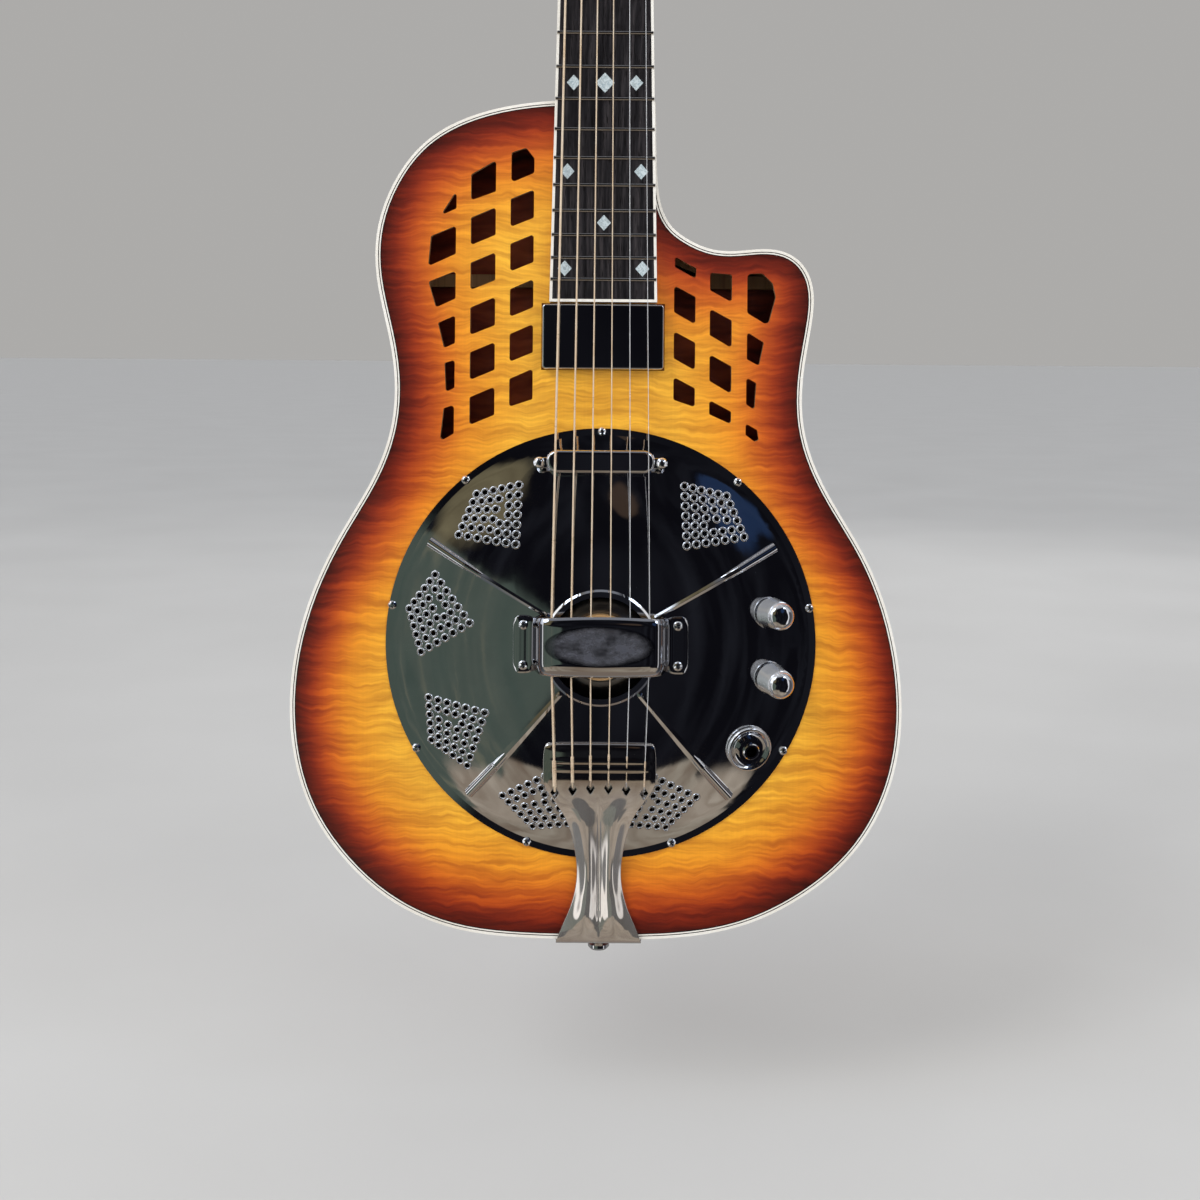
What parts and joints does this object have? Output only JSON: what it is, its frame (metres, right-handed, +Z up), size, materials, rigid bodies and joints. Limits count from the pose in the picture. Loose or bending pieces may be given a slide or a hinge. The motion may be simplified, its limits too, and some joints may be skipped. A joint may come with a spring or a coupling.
{
  "type": "resonator guitar",
  "caption": "Wood-bodied cutaway resonator guitar with a round perforated metal coverplate, lattice sound holes, two pickups and a bound fingerboard.",
  "frame": {"origin": "on the flat back, straight behind the centre of the resonator cone", "axes": "+Z up the neck, -Y out of the front of the body, +X towards the treble side (right as seen from the front)"},
  "size_m": [0.3597, 0.106, 1.0033],
  "materials": {
    "flamed_top": "gloss lacquer, amber centre shading to red brown at the edge",
    "stained_maple": "gloss lacquer, dark red brown",
    "ivory_binding": "gloss",
    "black_line": "gloss",
    "bare_wood": "bare",
    "spun_aluminium": "spun",
    "saddle_maple": "bare",
    "chrome_plate": "polished",
    "dark_rosewood": "oiled",
    "fret_wire": "polished",
    "pearl": "polished shell",
    "bone": "satin",
    "steel_parts": "satin",
    "coil_black": "matt",
    "gloss_black": "gloss",
    "bronze_wound": "wound wire"
  },
  "bodies": {
    "guitar": {"back_binding": "ivory_binding", "back_plate": "stained_maple", "biscuit": "saddle_maple", "coverplate": "chrome_plate", "coverplate_screws": "chrome_plate", "end_blocks": "bare_wood", "fingerboard": "dark_rosewood", "fingerboard_binding": "ivory_binding", "frets": "fret_wire", "hand_rest": "chrome_plate", "headstock_screws": "chrome_plate", "headstock_veneer": "gloss_black", "inlays": "pearl", "inner_braces": "bare_wood", "jack_cup": "chrome_plate", "linings": "bare_wood", "neck": "stained_maple", "neck_pickup_coils": "coil_black", "neck_pickup_cover": "chrome_plate", "neck_stick": "bare_wood", "nut": "bone", "output_jack": "chrome_plate", "plain_strings": "steel_parts", "pot_cases": "steel_parts", "pot_nuts": "steel_parts", "resonator_cone": "spun_aluminium", "saddle": "saddle_maple", "sides": "stained_maple", "slim_pickup_coil": "coil_black", "slim_pickup_cover": "chrome_plate", "slim_pickup_screws": "chrome_plate", "soundboard": "flamed_top", "soundwell": "bare_wood", "strap_button": "chrome_plate", "tailpiece": "chrome_plate", "top_binding": "ivory_binding", "top_purfling_black": "black_line", "top_purfling_white": "ivory_binding", "truss_rod": "steel_parts", "truss_rod_cover": "gloss_black", "tuner_bushings": "chrome_plate", "tuner_housings": "chrome_plate", "wound_strings": "bronze_wound"},
    "volume": {"volume_knob": "chrome_plate", "volume_shaft": "steel_parts"},
    "tone": {"tone_knob": "chrome_plate", "tone_shaft": "steel_parts"},
    "button_1": {"tuner_1_button": "chrome_plate"},
    "post_1": {"tuner_1_post": "chrome_plate"},
    "button_2": {"tuner_2_button": "chrome_plate"},
    "post_2": {"tuner_2_post": "chrome_plate"},
    "button_3": {"tuner_3_button": "chrome_plate"},
    "post_3": {"tuner_3_post": "chrome_plate"},
    "button_4": {"tuner_4_button": "chrome_plate"},
    "post_4": {"tuner_4_post": "chrome_plate"},
    "button_5": {"tuner_5_button": "chrome_plate"},
    "post_5": {"tuner_5_post": "chrome_plate"},
    "button_6": {"tuner_6_button": "chrome_plate"},
    "post_6": {"tuner_6_post": "chrome_plate"}
  },
  "joints": [
    {"name": "volume_turn", "type": "hinge", "parent": "guitar", "child": "volume", "pos_m": [0.09855, -0.08414, 0.01969], "axis": [0.2785, -0.9588, 0.0557], "range_deg": [-150, 150]},
    {"name": "tone_turn", "type": "hinge", "parent": "guitar", "child": "tone", "pos_m": [0.09888, -0.08414, -0.01797], "axis": [0.2794, -0.9588, -0.0508], "range_deg": [-150, 150]},
    {"name": "tuner_1_turn", "type": "hinge", "parent": "guitar", "child": "button_1", "pos_m": [-0.0245, -0.0385, 0.66862], "axis": [-1, 0, 0], "continuous": true},
    {"name": "tuner_1_wind", "type": "hinge", "parent": "guitar", "child": "post_1", "pos_m": [-0.0245, -0.04273, 0.67614], "axis": [0, -0.9673, 0.2538], "continuous": true},
    {"name": "tuner_2_turn", "type": "hinge", "parent": "guitar", "child": "button_2", "pos_m": [-0.026, -0.02835, 0.70731], "axis": [-1, 0, 0], "continuous": true},
    {"name": "tuner_2_wind", "type": "hinge", "parent": "guitar", "child": "post_2", "pos_m": [-0.026, -0.03258, 0.71483], "axis": [0, -0.9673, 0.2538], "continuous": true},
    {"name": "tuner_3_turn", "type": "hinge", "parent": "guitar", "child": "button_3", "pos_m": [-0.0275, -0.0182, 0.746], "axis": [-1, 0, 0], "continuous": true},
    {"name": "tuner_3_wind", "type": "hinge", "parent": "guitar", "child": "post_3", "pos_m": [-0.0275, -0.02243, 0.75352], "axis": [0, -0.9673, 0.2538], "continuous": true},
    {"name": "tuner_4_turn", "type": "hinge", "parent": "guitar", "child": "button_4", "pos_m": [0.0245, -0.03536, 0.68061], "axis": [1, 0, 0], "continuous": true},
    {"name": "tuner_4_wind", "type": "hinge", "parent": "guitar", "child": "post_4", "pos_m": [0.0245, -0.04273, 0.67614], "axis": [0, -0.9673, 0.2538], "continuous": true},
    {"name": "tuner_5_turn", "type": "hinge", "parent": "guitar", "child": "button_5", "pos_m": [0.026, -0.02521, 0.7193], "axis": [1, 0, 0], "continuous": true},
    {"name": "tuner_5_wind", "type": "hinge", "parent": "guitar", "child": "post_5", "pos_m": [0.026, -0.03258, 0.71483], "axis": [0, -0.9673, 0.2538], "continuous": true},
    {"name": "tuner_6_turn", "type": "hinge", "parent": "guitar", "child": "button_6", "pos_m": [0.0275, -0.01506, 0.75799], "axis": [1, 0, 0], "continuous": true},
    {"name": "tuner_6_wind", "type": "hinge", "parent": "guitar", "child": "post_6", "pos_m": [0.0275, -0.02243, 0.75352], "axis": [0, -0.9673, 0.2538], "continuous": true}
  ],
  "couplings": [
    {"joint": "tuner_1_wind", "follows": "tuner_1_turn", "ratio": 0.071429},
    {"joint": "tuner_2_wind", "follows": "tuner_2_turn", "ratio": 0.071429},
    {"joint": "tuner_3_wind", "follows": "tuner_3_turn", "ratio": 0.071429},
    {"joint": "tuner_4_wind", "follows": "tuner_4_turn", "ratio": 0.071429},
    {"joint": "tuner_5_wind", "follows": "tuner_5_turn", "ratio": 0.071429},
    {"joint": "tuner_6_wind", "follows": "tuner_6_turn", "ratio": 0.071429}
  ]
}
